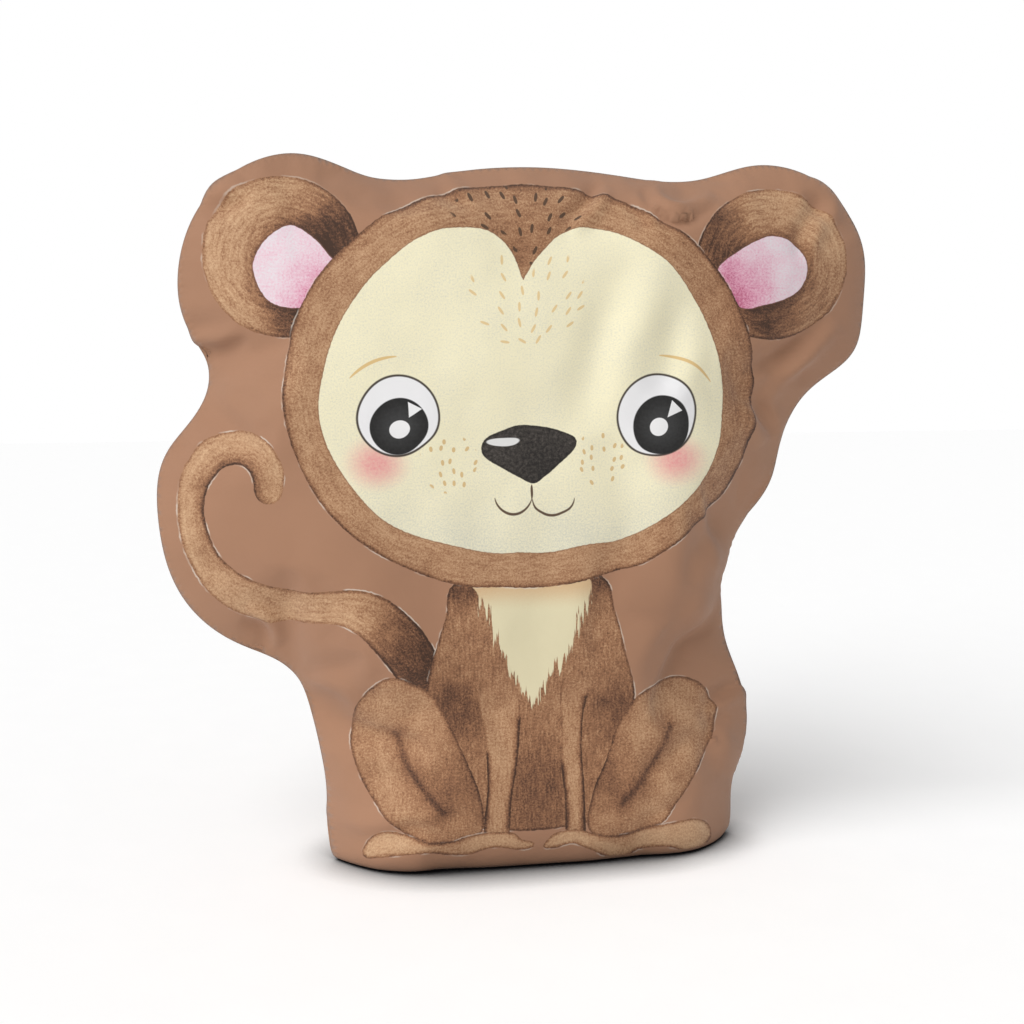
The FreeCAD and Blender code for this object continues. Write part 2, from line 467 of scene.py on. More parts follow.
def eased(mesh, points):
    """Each point moved to the middle of its neighbours."""
    pairs = np.zeros(len(mesh.edges) * 2, np.int32)
    mesh.edges.foreach_get("vertices", pairs)
    pairs = pairs.reshape(-1, 2)
    total = np.zeros_like(points)
    np.add.at(total, pairs[:, 0], points[pairs[:, 1]])
    np.add.at(total, pairs[:, 1], points[pairs[:, 0]])
    return total / np.bincount(pairs.ravel(), minlength=len(points))[:, None]


def fold_along(place, line, width, height):
    """A soft raised fold beside a line on the panel, with a hollow on its other side, fading at both ends."""
    path = spline(line, closed=False, steps=6)
    distance, run = nearest_on(place, path, False)
    step = np.minimum((run * (len(path) - 1)).astype(int), len(path) - 2)
    before, along = path[step], path[step + 1] - path[step]
    across = along[:, 0] * (place - before)[:, 1] - along[:, 1] * (place - before)[:, 0]
    signed = distance * np.sign(across) / width
    return height * signed * np.exp(0.5 - signed ** 2 / 2) * np.sin(math.pi * run) ** 0.7


FOLD_DEPTH = 1.3         # all the folds below are this much higher than written
FRONT_FOLDS = (          # line over the print, width, height, all in millimetres
    (((72, 352), (60, 318), (48, 280), (40, 240)), 11, 2.4),
    (((96, 322), (93, 290), (84, 262)), 8, 1.4),
    (((46, 388), (36, 374), (22, 364)), 4, 2.4),
    (((-52, 386), (-40, 379), (-30, 376)), 4, 1.2),
    (((72, 388), (76, 376), (90, 370), (114, 378)), 3.5, 2.8),
    (((60, 380), (70, 372), (74, 362)), 3.5, 1.6),
    (((-182, 368), (-172, 374), (-158, 380)), 4, 2.2),
    (((184, 380), (172, 362), (170, 344)), 5, 1.8),
    (((170, 388), (180, 380), (188, 366)), 3.5, 1.8),
    (((-190, 300), (-176, 296), (-160, 302)), 4, 1.8),
    (((190, 312), (172, 296), (150, 282), (134, 276)), 4.5, 2.8),
    (((176, 296), (160, 284), (142, 262)), 4, 1.8),
    (((150, 240), (142, 250), (138, 266)), 5, 2.2),
    (((128, 200), (116, 180), (104, 152)), 7, 2.4),
    (((120, 160), (104, 140), (92, 110)), 8, 1.4),
    (((-164, 146), (-152, 139), (-148, 126)), 4, 2.4),
    (((-128, 104), (-112, 98), (-100, 88)), 6, 1.6),
    (((132, 92), (124, 84), (110, 78)), 4, 2.0),
    (((128, 70), (118, 60), (122, 34)), 6, 1.8),
    (((-118, 26), (-96, 16), (-60, 18)), 6, 1.4),
)


def dents(points, seed, height):
    """Broad uneven rises and hollows, where the filling has settled."""
    away = Vector((7.3, 1.9, 4.1)) * seed
    broad = [perlin.noise(Vector(p) / (48 * MM) + away) for p in points]
    fine = [perlin.noise(Vector(p) / (23 * MM) - away) for p in points]
    return height * (2.0 * np.array(broad) + 0.8 * np.array(fine))


def crumple(obj, side):
    """Puckers where the seam gathers the cloth, dents, long soft folds, and the groove of the hand sewing."""
    mesh = obj.data
    seam = get(mesh, "seam")
    place = get(mesh, "print")[:, :2]
    depth, run = seam[:, 0], seam[:, 1]
    outer = smoothstep(depth, -4, 1)
    strength = 0.55 + 0.45 * wave(run, (3, 5, 8, 13), SEED + side)
    pucker = wave(run, (88, 97, 111, 126, 143), SEED + 5) * np.exp(-np.maximum(depth, 0) / 9) * strength
    long_pucker = wave(run, (37, 44, 53, 61), SEED + 6 + side) * np.exp(-np.maximum(depth, 0) / 20) * strength
    rise = (0.5 * pucker + long_pucker) * outer * smoothstep(depth, 0, 5)
    rise += dents(positions(mesh), SEED + side, 0.8 if side < 0 else 1.5) * smoothstep(depth, 2, 25)
    if side < 0:
        for line, width, height in FRONT_FOLDS:
            rise += FOLD_DEPTH * fold_along(place, line, width, height)
    else:
        draw = np.random.default_rng(SEED + 20)
        for _ in range(16):
            start = draw.uniform((-130, 40), (130, 370))
            slope = draw.normal((0, -26), (22, 12))
            line = (start, start + slope + draw.normal(0, 4, 2), start + 2.2 * slope)
            fold = fold_along(place, line, draw.uniform(5, 11), draw.uniform(1.0, 2.2))
            rise += fold * smoothstep(depth, 4, 20)
    moved = positions(mesh) + vertex_normals(mesh) * (rise * outer * MM)[:, None]
    height = positions(mesh)[:, 2]
    moved[:, 2] = np.where(height < FLOOR_GRIP, height, moved[:, 2])
    sewn_shut = (np.abs(height) < 3 * MM) & (np.abs(moved[:, 0]) < FILLING_HOLE)
    moved[:, 2] += GROOVE * sewn_shut * np.exp(-(np.maximum(depth, 0) / 3) ** 2)
    move_to(mesh, moved)


def thicken(obj):
    solid = obj.modifiers.new("Cloth thickness", "SOLIDIFY")
    solid.thickness = CLOTH
    solid.offset = -1
    apply_modifiers(obj)


# ==== the print ====
# Every outline below is drawn in millimetres on the plane of the seam, x to the right and z up.
HEAD_CENTRE = np.array((0, 270.5))
HEAD_RADII = np.array((139.5, 116))

FACE = (
    (-2.5, 333), (2, 341), (8, 348.5), (17, 357.5), (27, 362), (38, 363), (52, 361), (68, 354), (85, 342),
    (100, 325), (110, 306), (117, 285), (119.5, 265), (118, 245), (112, 226), (102, 210), (88, 197),
    (70, 187), (50, 181), (30, 177.5), (10, 175), (-10, 175.5), (-30, 178), (-50, 182), (-70, 188.5),
    (-85, 197), (-98, 210), (-110, 227), (-117, 243), (-120, 262), (-118, 282), (-111, 303), (-100, 322),
    (-87, 338), (-70, 351), (-52, 359.5), (-38, 361.5), (-25, 360.5), (-15, 355), (-8, 346), (-4, 336),
)
LEFT_EAR = ((-139, 344), (44, 44))
RIGHT_EAR = ((149, 343), (48, 44))
LEFT_PINK = (
    (-156, 338), (-152, 350), (-144, 358), (-134, 362), (-122, 355), (-115, 347), (-106, 335), (-112, 318),
    (-125, 316.5), (-140, 317), (-150, 323),
)
RIGHT_PINK = (
    (115.5, 341), (128, 351), (140, 357.5), (149, 360), (160, 357.5), (168, 351), (171.5, 342), (170, 334),
    (165, 327), (155, 322), (143, 319), (132, 317.5), (118, 326),
)
TAIL = (   # x, z, half the tail's width
    (-149.5, 215, 8), (-150, 226, 9), (-156, 235.5, 9.5), (-167, 239.5, 9.5), (-180, 235, 9), (-189, 222, 8),
    (-192, 206, 7), (-190, 190, 7.5), (-184, 175, 8), (-173, 162, 9.5), (-158, 154, 10), (-140, 149.5, 9),
    (-120, 147.5, 9), (-103, 146, 11), (-88, 139, 13), (-74, 125, 14), (-63, 108, 13),
)
BODY = (
    (-42, 160), (-48, 140), (-54, 122), (-60, 100), (-58, 70), (-50, 40), (-36, 15), (-10, 9.5), (7, 9),
    (23, 10), (44, 15), (54, 40), (60, 70), (66, 88), (60, 115), (54, 140), (46, 160), (0, 175),
)
CHEST = (
    (-28, 160), (-27, 150), (-23, 138), (-18, 126), (-12, 112), (-5, 100), (2, 90), (4, 86), (8, 95),
    (14, 104), (22, 115), (29, 128), (33, 142), (36, 160),
)
LEFT_ARM = (
    (-40, 130), (-30, 90), (-25, 60), (-24, 35), (-26, 12), (-24, 6), (-12, 6), (-10, 14), (-9, 30),
    (-6, 50), (-4, 72), (-5, 92), (-14, 118), (-26, 140),
)
RIGHT_ARM = (
    (38, 138), (26, 112), (20, 92), (21, 70), (21, 45), (23, 30), (23.5, 12), (25, 6), (35, 5), (36, 14),
    (35, 36), (33.5, 58), (35, 82), (44, 104), (52, 126),
)
LEFT_LEG = (
    (-105, 72), (-103, 85), (-96, 97), (-86, 104.5), (-77, 106), (-66, 101), (-57, 94), (-50, 82), (-42, 66),
    (-35, 50), (-29, 35), (-26, 20), (-27, 10), (-35, 6), (-55, 5), (-63, 7), (-75, 13), (-88, 27),
    (-98, 45), (-103, 60),
)
RIGHT_LEG = (
    (118, 70), (117, 80), (113, 88), (105, 95), (93, 98), (83, 95), (70, 89), (62, 80), (55, 68), (49, 50),
    (42, 35), (38, 20), (37, 10), (42, 4), (55, 2), (70, 5), (84, 8), (95, 22), (108, 43), (115, 58),
)
LEFT_FOOT = (
    (-99, 5), (-94, 12), (-84, 14.5), (-72, 11), (-60, 6), (-45, 6), (-35, 8), (-20, 9), (-8, 8), (-3, 4),
    (4, 2), (3, -1), (-5, -2), (-20, 0), (-35, -2.5), (-47, -2), (-60, 0), (-75, 0), (-90, 0), (-97, 1),
)
RIGHT_FOOT = (
    (116, 1), (113, 7), (104, 9.5), (90, 8), (75, 6), (58, 3), (45, 4), (32, 8), (24, 8), (16, 6), (10, 0),
    (11, -2), (18, -2), (28, 0), (38, -4), (50, -9), (62, -10), (67, -7), (75, -6), (88, -6), (100, -9),
    (110, -7), (115, -3),
)
NOSE = (
    (-28, 237), (-25, 243), (-15, 247.5), (2, 249.5), (15, 248), (26, 243.5), (29.5, 239.5), (27, 234),
    (18, 226), (8, 218), (2.5, 216), (-4, 219), (-15, 225), (-25, 231),
)
LEG_CREASES = (((-79, 72), (-72, 54), (-62, 37), (-50, 23)), ((88, 68), (82, 52), (72, 37), (59, 22)))
LEFT_ARM_LINES = (((-4, 76), (-6, 50), (-9, 30), (-11, 12)), ((-25, 56), (-24, 35), (-26, 10)))
RIGHT_ARM_LINES = (((21, 47), (23, 30), (24, 10)), ((36, 88), (34, 60), (35, 38), (35, 6)))


def near(place, centre, size):
    """1 at the centre, fading to 0 over about twice the size."""
    return np.exp(-np.sum((place - centre) ** 2, axis=1) / size ** 2)


def stroke(place, line, width):
    distance, _ = nearest_on(place, spline(line, closed=False, steps=5), False)
    return np.exp(-(distance / width) ** 2)


def deeper(place, *outlines):
    """Depth inside whichever of the smooth outlines holds the place."""
    return np.maximum.reduce([depth_in(place, spline(outline)) for outline in outlines])


def oval_depth(place, centre, radii, power=2.0):
    """Roughly the depth inside an oval, in mm."""
    ratio = np.sum(np.abs((place - centre) / radii) ** power, axis=1) ** (1 / power)
    return (1 - ratio) * np.linalg.norm(place - centre, axis=1) / np.maximum(ratio, 0.05)


def tail_layer(p):
    path = spline(TAIL, closed=False, steps=8)
    best, tone, along = np.full(len(p), -300.0), np.zeros(len(p)), np.zeros(len(p))
    run = walked(path[:, :2])
    for i in range(len(path) - 1):
        a, b = path[i], path[i + 1]
        step = b[:2] - a[:2]
        t = np.clip((p - a[:2]) @ step / (step @ step), 0, 1)
        offset = p - a[:2] - t[:, None] * step
        radius = a[2] + t * (b[2] - a[2])
        inside = radius - np.linalg.norm(offset, axis=1)
        left = (step[0] * offset[:, 1] - step[1] * offset[:, 0]) / np.linalg.norm(step) / radius
        closer = inside > best
        best[closer] = inside[closer]
        tone[closer] = (0.5 + 0.5 * np.clip(left, -1, 1))[closer]
        along[closer] = (run[i] + t * (run[i + 1] - run[i]))[closer]
    curl = smoothstep(along, 150, 60)
    shade = 0.26 + (0.12 + 0.4 * curl) * tone ** 3 + 0.6 * smoothstep(along, run[-1] - 62, run[-1] - 6)
    return best, shade, along


def body_layer(p):
    tone = 0.50 + 0.22 * near(p, (6, 40), 24) + 0.3 * near(p, (-46, 84), 20) + 0.25 * near(p, (56, 80), 18)
    tone += 0.34 * smoothstep(p[:, 1], 140, 160) + 0.12 * near(p, (6, 12), 20)
    return deeper(p, BODY), tone, p[:, 1]


def chest_layer(p):
    return deeper(p, CHEST), smoothstep(p[:, 1], 140, 157), p[:, 1]


def arm_layer(p):
    tone = 0.34 + 0.1 * smoothstep(p[:, 1], 60, 110)
    for line in LEFT_ARM_LINES + RIGHT_ARM_LINES:
        tone += 0.5 * stroke(p, line, 2.2)
    return deeper(p, LEFT_ARM, RIGHT_ARM), tone, p[:, 1]


def leg_layer(p):
    depth = deeper(p, LEFT_LEG, RIGHT_LEG)
    tone = 0.33 + 0.26 * near(p, (-40, 40), 24) + 0.26 * near(p, (50, 38), 20)
    for line in LEG_CREASES:
        tone += 0.26 * stroke(p, line, 1.8) + 0.2 * stroke(p, line, 8)
    return depth, tone + 0.18 * np.exp(-depth / 6), p[:, 1]


def foot_layer(p):
    depth = deeper(p, LEFT_FOOT, RIGHT_FOOT)
    tone = 0.16 + 0.25 * near(p, (-47, 8), 12) + 0.25 * near(p, (57, 5), 12)
    return depth, tone + 0.3 * np.exp(-np.maximum(depth, 0) / 1.2), p[:, 0]


def ear_layer(p):
    depth = np.maximum(oval_depth(p, *LEFT_EAR), oval_depth(p, *RIGHT_EAR))
    tone = 0.25 + 0.44 * np.exp(-np.maximum(-deeper(p, LEFT_PINK, RIGHT_PINK), 0) / 5)
    tone += 0.7 * near(p, (-106, 358), 24) + 0.6 * near(p, (-128, 307), 20)
    tone += 0.55 * near(p, (110, 362), 22) + 0.55 * near(p, (146, 307), 20) + 0.2 * near(p, (186, 320), 22)
    centre = np.where(p[:, :1] < 0, LEFT_EAR[0], RIGHT_EAR[0])
    return depth, tone, 40 * np.arctan2(*(p - centre).T)


def pink_layer(p):
    tone = 0.75 * near(p, (-114, 322), 22) + 0.8 * near(p, (124, 326), 24) + 0.15
    return deeper(p, LEFT_PINK, RIGHT_PINK), tone, p[:, 0]


def head_layer(p):
    depth = oval_depth(p, HEAD_CENTRE, HEAD_RADII, 2.15)
    tone = 0.35 + 0.16 * near(p, (0, 352), 30) + 0.26 * np.exp(-np.abs(depth) / 2.5)
    tone += 0.1 * smoothstep(p[:, 0], 60, 130)
    return depth, tone, 120 * np.arctan2(*((p - HEAD_CENTRE) / HEAD_RADII).T)


def face_layer(p):
    return deeper(p, FACE), 0.2 + 0.5 * smoothstep(p[:, 1], 230, 170), p[:, 1]


def nose_layer(p):
    return deeper(p, NOSE), near(p, (10, 226), 18), p[:, 0]


LAYERS = {
    "tail": tail_layer, "body": body_layer, "chest": chest_layer, "arms": arm_layer, "legs": leg_layer,
    "feet": foot_layer, "ears": ear_layer, "pinks": pink_layer, "head": head_layer, "face": face_layer,
    "nose": nose_layer,
}


def lay_out_print(obj):
    """Stores for every layer of the print: depth inside its outline, its tone, and the way its brush runs."""
    mesh = obj.data
    place = get(mesh, "print")[:, :2]
    for name, layer in LAYERS.items():
        put(mesh, name, np.array(layer(place)).T)


# ==== shader building ====
class Wire:
    """An output in a material's node tree. Arithmetic on wires adds the matching nodes."""

    def __init__(self, tree, socket):
        self.tree = tree
        self.socket = socket

    def into(self, kind, *others, **settings):
        """A new node that takes this wire first and then the others."""
        node = self.tree.nodes.new(kind)
        for name, value in settings.items():
            setattr(node, name, value)
        for slot, value in zip(node.inputs, (self, *others)):
            plug(self.tree, value, slot)
        return node

    def math(self, operation, *others):
        return Wire(self.tree, self.into("ShaderNodeMath", *others, operation=operation).outputs[0])

    def vector(self, operation, *others):
        node = self.into("ShaderNodeVectorMath", *others, operation=operation)
        single = operation in ("LENGTH", "DOT_PRODUCT")
        return Wire(self.tree, node.outputs["Value" if single else "Vector"])

    def __add__(self, other):
        return self.math("ADD", other)

    def __sub__(self, other):
        return self.math("SUBTRACT", other)

    def __mul__(self, other):
        return self.math("MULTIPLY", other)

    def __truediv__(self, other):
        return self.math("DIVIDE", other)

    def at_most(self, other):
        return self.math("MINIMUM", other)

    def at_least(self, other):
        return self.math("MAXIMUM", other)

    def rise(self, low, high):
        """0 below low, 1 above high, and smooth between. Falls instead when low is above high."""
        ends = (min(low, high), max(low, high), float(low > high), float(low <= high))
        node = self.into("ShaderNodeMapRange", *ends, interpolation_type="SMOOTHSTEP")
        return Wire(self.tree, node.outputs[0])

    def split(self):
        return [Wire(self.tree, output) for output in self.into("ShaderNodeSeparateXYZ").outputs]

    def ramp(self, stops):
        """A colour for each value; stops pairs a value with an sRGB colour."""
        node = self.into("ShaderNodeValToRGB")
        elements = node.color_ramp.elements
        while len(elements) < len(stops):
            elements.new(0.5)
        for element, (place, colour) in zip(elements, stops):
            element.position = place
            element.color = ink(*colour)
        return Wire(self.tree, node.outputs[0])


def plug(tree, value, slot):
    if isinstance(value, Wire):
        tree.links.new(value.socket, slot)
    else:
        slot.default_value = value


def ink(red, green, blue):
    """An sRGB colour, 0 to 255, as the linear colour a shader takes."""
    shares = (red / 255, green / 255, blue / 255)
    linear = [c / 12.92 if c <= 0.04 else ((c + 0.055) / 1.055) ** 2.4 for c in shares]
    return (*linear, 1.0)


def vector_of(tree, x, y, z=0.0):
    node = tree.nodes.new("ShaderNodeCombineXYZ")
    for slot, value in zip(node.inputs, (x, y, z)):
        plug(tree, value, slot)
    return Wire(tree, node.outputs[0])


def stored(tree, name):
    """A value stored at the mesh's points."""
    node = tree.nodes.new("ShaderNodeAttribute")
    node.attribute_name = name
    return Wire(tree, node.outputs["Vector"])


def object_place(tree):
    return Wire(tree, tree.nodes.new("ShaderNodeTexCoord").outputs["Object"])


def noise(place, scale, detail=2.0, roughness=0.5):
    """Soft noise, about 0.2 to 0.8; scale is in cells per millimetre of the place it is given."""
    node = place.tree.nodes.new("ShaderNodeTexNoise")
    for name, value in (("Vector", place), ("Scale", scale), ("Detail", detail), ("Roughness", roughness)):
        plug(place.tree, value, node.inputs[name])
    return Wire(place.tree, node.outputs[0])


def flutter(place, amount, scale, detail=2.0, roughness=0.5):
    """The same noise as a change to either side of nothing."""
    return (noise(place, scale, detail, roughness) - 0.5) * amount


def mixed(under, over, amount, blend="MIX"):
    """The colour `over` laid on the colour `under`."""
    tree = under.tree
    node = tree.nodes.new("ShaderNodeMix")
    node.data_type = "RGBA"
    node.blend_type = blend
    for slot, value in ((0, amount), (6, under), (7, over)):
        plug(tree, value, node.inputs[slot])
    return Wire(tree, node.outputs[2])


def bump(height, strength, distance, under=None):
    """A rough surface's normal, on top of another's when one is given."""
    node = height.tree.nodes.new("ShaderNodeBump")
    for name, value in (("Height", height), ("Strength", strength), ("Distance", distance)):
        plug(height.tree, value, node.inputs[name])
    if under:
        plug(height.tree, under, node.inputs["Normal"])
    return Wire(height.tree, node.outputs[0])


def new_material(name):
    material = bpy.data.materials.new(name)
    material.use_nodes = True
    return material, material.node_tree


def dress(tree, **settings):
    """Sets the Principled shader's inputs; an underscore in a name stands for a space."""
    shader = tree.nodes["Principled BSDF"]
    for name, value in settings.items():
        plug(tree, value, shader.inputs[name.replace("_", " ")])


# ==== marks of the brush ====
def away(p, centre, radii):
    """Distance from the centre, as a share of the radii."""
    return p.vector("SUBTRACT", (*centre, 0)).vector("DIVIDE", (*radii, 1)).vector("LENGTH")


def spot(p, centre, radii, soft=0.06):
    """1 inside an oval. soft is the width of its edge, as a share of its radius."""
    return away(p, centre, radii).rise(1 + soft / 2, 1 - soft / 2)


def corner(p, points, soft=0.3):
    """1 inside a triangle given anticlockwise."""
    inside = None
    for (x0, z0), (x1, z1) in zip(points, points[1:] + points[:1]):
        length = math.hypot(x1 - x0, z1 - z0)
        inward = ((z0 - z1) / length, (x1 - x0) / length, 0)
        depth = p.vector("SUBTRACT", (x0, z0, 0)).vector("DOT_PRODUCT", inward)
        inside = depth if inside is None else inside.at_most(depth)
    return inside.rise(-soft / 2, soft / 2)


def arc(p, centre, radius, width, toward, reach):
    """A tapering pen stroke along a circle; toward is its middle and reach is half its angle, in degrees."""
    spoke = p.vector("SUBTRACT", (*centre, 0))
    heading = (math.cos(math.radians(toward)), math.sin(math.radians(toward)), 0)
    turn = spoke.vector("NORMALIZE").vector("DOT_PRODUCT", heading).math("ARCCOSINE") / math.radians(reach)
    half = (turn * turn * -1.0 + 1.0).at_least(0.0).math("SQRT") * (width / 2)
    off = (spoke.vector("LENGTH") - radius).math("ABSOLUTE")
    return (half - off).rise(-0.25, 0.25) * turn.rise(1.0, 0.97)


def dashes(p, fan, cell, length, width, chance, seed):
    """Short hairs scattered one to a cell, pointing away from the fan's centre."""
    tree = p.tree
    shift = (0.37 * seed, 0.61 * seed, 0)
    grid = p.vector("ADD", shift).vector("DIVIDE", (cell, cell, 1))
    square = grid.vector("FLOOR")
    random = tree.nodes.new("ShaderNodeTexWhiteNoise")
    random.noise_dimensions = "3D"
    plug(tree, square.vector("ADD", (0, 0, seed)), random.inputs["Vector"])
    red, green, blue = Wire(tree, random.outputs["Color"]).split()
    middle = square.vector("ADD", (0.5, 0.5, 0)).vector("MULTIPLY", (cell, cell, 1)).vector("SUBTRACT", shift)
    sway = vector_of(tree, (red - 0.5) * (cell - 0.75 * length), (green - 0.5) * (cell - length))
    tip = p.vector("SUBTRACT", middle).vector("SUBTRACT", sway)
    heading = middle.vector("SUBTRACT", (*fan, 0)).vector("NORMALIZE")
    lean = (blue - 0.5) * 0.5
    x, z, _ = heading.split()
    leaning = vector_of(tree, x - z * lean, z + x * lean).vector("NORMALIZE")
    x, z, _ = leaning.split()
    along = tip.vector("DOT_PRODUCT", leaning).math("ABSOLUTE") / (length / 2)
    across = tip.vector("DOT_PRODUCT", vector_of(tree, z * -1.0, x)).math("ABSOLUTE") / (width / 2)
    shape = (along.math("POWER", 2.6) + across.math("POWER", 2.0)).rise(1.25, 0.75)
    kept = Wire(tree, random.outputs["Value"]).rise(1 - chance, 1 - chance + 0.001)
    return shape * kept


FUR = (
    (0.0, (212, 175, 139)), (0.28, (187, 146, 111)), (0.52, (153, 109, 78)), (0.78, (108, 73, 53)),
    (1.0, (66, 44, 32)),
)
PINKS = ((0.0, (229, 222, 228)), (0.35, (232, 200, 213)), (0.75, (220, 152, 178)), (1, (190, 104, 136)))


def watercolour(tree, p):
    """The noises that every painted area shares."""
    x, z, _ = p.split()
    return {
        "wobble": flutter(p, 1.1, 0.35),
        "mottle": flutter(p, 1.3, 0.8, 3, 0.85) + flutter(p, 0.42, 0.09, 3, 0.6),
        "upright": noise(vector_of(tree, x * 0.7, z * 0.1), 1.0, 3, 0.7) - 0.5,
        "gaps": noise(p, 0.06, 2).rise(0.48, 0.62),
    }


def fur(tree, name, wash, streak, upright):
    """One painted area of fur: its mask, its colour, and the pale cut edge round it."""
    depth, tone, along = stored(tree, name).split()
    depth = depth + wash["wobble"]
    if upright:
        brushed = wash["upright"]
    else:
        brushed = noise(vector_of(tree, depth * 0.5, along * 0.07), 1.0, 3, 0.65) - 0.5
    tone = tone + brushed * streak + wash["mottle"] + depth.rise(2.2, 0.2) * 0.24
    return depth.rise(-0.2, 0.25), tone.ramp(FUR), depth.rise(-0.85, -0.45) * wash["gaps"]


EYES = (   # centre of the white, centre of the iris, their radii, the round highlight, the pointed one
    ((-75.5, 256), (-75, 250), (22.7, 16.2), (-74.5, 248), ((-70.5, 264), (-70, 255), (-62.5, 260))),
    ((78.5, 255), (81.5, 249), (23.9, 17.4), (80, 248), ((87.5, 263.5), (85, 253.5), (94, 257.5))),
)
BROWS = (((-74.5, 249), 40.7, 1.9, 114, 22), ((79.5, 250.5), 39.8, 1.9, 63, 27))
MOUTH = (((-8.6, 209.4), 11.2, 1.5, 268, 82), ((15.2, 209.6), 12.8, 1.6, 270, 80))


def eye(colour, p, white, iris, radii, glint, wedge):
    """White, dark iris, two highlights, and a thin drawn outline."""
    ring, ball = radii
    colour = mixed(colour, ink(74, 66, 60), spot(p, white, (ring + 0.9, ring + 0.9), 0.03))
    colour = mixed(colour, ink(240, 240, 243), spot(p, white, (ring - 0.4, ring - 0.4), 0.03))
    shade = away(p, iris, (ball, ball)).rise(0.2, 1) * 0.6 + noise(p, 0.5, 3) * 0.5
    shade = shade.ramp(((0, (66, 66, 67)), (1, (28, 27, 26))))
    colour = mixed(colour, shade, spot(p, iris, (ball, ball * 1.01), 0.04))
    colour = mixed(colour, ink(242, 242, 244), spot(p, glint, (5.6, 5.3), 0.08))
    return mixed(colour, ink(240, 240, 242), corner(p, wedge))


def painted_face(tree, colour, p):
    """Cheeks, freckles, eyes, brows, nose and mouth."""
    speckle = noise(p, 0.55, 3, 0.7)
    for centre in ((-88, 229), (90, 228)):
        blush = away(p, centre, (21, 17)).rise(1.1, 0.1)
        colour = mixed(colour, ink(234, 146, 152), blush * (speckle * 0.9 + 0.3))
    on_face = stored(tree, "face").split()[0].rise(1.5, 3.0)
    hairs = dashes(p, (0, 293), 9.5, 5.5, 1.6, 0.66, 3.0) * spot(p, (0, 324), (35, 32)) * on_face
    colour = mixed(colour, ink(226, 192, 132), hairs * 0.75)
    for centre in ((-46, 228), (44, 229)):
        freckle = dashes(p, (centre[0], 200), 6.4, 3.2, 1.9, 0.66, 7.0) * spot(p, centre, (17, 17))
        colour = mixed(colour, ink(214, 180, 124), freckle * 0.85)
    for drawn in EYES:
        colour = eye(colour, p, *drawn)
    for brow in BROWS:
        colour = mixed(colour, ink(221, 186, 124), arc(p, *brow) * 0.9)
    depth, tone, _ = stored(tree, "nose").split()
    depth = depth + flutter(p, 0.5, 0.4)
    black = flutter(p, 2.2, 0.5, 3, 0.7) + tone * 0.3 + depth.rise(2.5, 0) * 0.25 + 0.55
    black = black.ramp(((0, (98, 92, 88)), (0.5, (66, 61, 57)), (1, (38, 34, 32))))
    colour = mixed(colour, black, depth.rise(-0.2, 0.3))
    colour = mixed(colour, ink(231, 231, 231), spot(p, (-14.5, 240.7), (10.2, 2.4), 0.15))
    pen = ink(96, 77, 62)
    for side_of_mouth in MOUTH:
        colour = mixed(colour, pen, arc(p, *side_of_mouth))
    return mixed(colour, pen, spot(p, (2.4, 211), (0.75, 4.4), 0.3))


def print_colour(tree):
    """The whole printed picture, laid down from the margin upwards."""
    p = stored(tree, "print")
    paper = noise(p, 0.9, 4, 0.75) - 0.5
    colour = (noise(p, 0.012, 2) * 0.7 + 0.15).ramp(((0.3, (165, 123, 97)), (0.7, (171, 129, 102))))
    white = ink(226, 216, 204)

    wash = watercolour(tree, p)

    def lay_fur(colour, name, halo_strength, streak, upright=False, fade=1.0):
        mask, tone, halo = fur(tree, name, wash, streak, upright)
        return mixed(mixed(colour, white, halo * halo_strength), tone, mask * fade)

    off_body = stored(tree, "body").split()[0].rise(-1, -3)

    colour = lay_fur(colour, "tail", 0.6, 0.6)
    colour = lay_fur(colour, "body", 0.5, 0.7, upright=True)
    depth, shade, _ = stored(tree, "chest").split()
    x, z, _ = p.split()
    tuft = (noise(vector_of(tree, x * 0.42, z * 0.03), 1.0, 3, 0.65) - 0.45) * 24.0
    tuft = tuft * z.rise(158, 142)
    cream = (shade + paper * 0.5).ramp(((0, (226, 217, 183)), (1, (214, 182, 142))))
    colour = mixed(colour, cream, (depth + tuft).rise(-0.4, 0.4))
    colour = lay_fur(colour, "arms", 0.0, 0.5, upright=True, fade=z.rise(112, 78))
    colour = lay_fur(colour, "legs", off_body * 0.5, 0.42, upright=True)
    colour = lay_fur(colour, "feet", off_body * 0.4, 0.35)
    colour = lay_fur(colour, "ears", 0.35, 0.8)
    depth, shade, _ = stored(tree, "pinks").split()
    depth = depth + flutter(p, 0.8, 0.3)
    pink = (shade + flutter(p, 1.6, 0.8, 3, 0.85) + flutter(p, 0.6, 0.08)).ramp(PINKS)
    colour = mixed(colour, ink(122, 82, 66), depth.rise(-0.9, -0.2) * 0.6)
    colour = mixed(colour, pink, depth.rise(-0.1, 0.3))
    colour = lay_fur(colour, "head", 0.5, 0.55)
    bristles = dashes(p, (0, 343), 9.2, 5.2, 1.9, 0.8, 5.0) * spot(p, (-4, 372), (42, 14)).at_least(
        spot(p, (0, 356), (9, 22)))
    colour = mixed(colour, ink(84, 62, 46), bristles * 0.95)
    depth, shade, _ = stored(tree, "face").split()
    depth = depth + flutter(p, 0.9, 0.4)
    tint = shade + paper * 3.2 + flutter(p, 0.6, 0.03)
    face = tint.ramp(((0.0, (246, 239, 206)), (0.5, (234, 229, 203)), (1, (214, 213, 196))))
    colour = mixed(colour, ink(126, 92, 68), depth.rise(-0.9, -0.2) * 0.5)
    colour = mixed(colour, face, depth.rise(-0.2, 0.3))
    return painted_face(tree, colour, p)


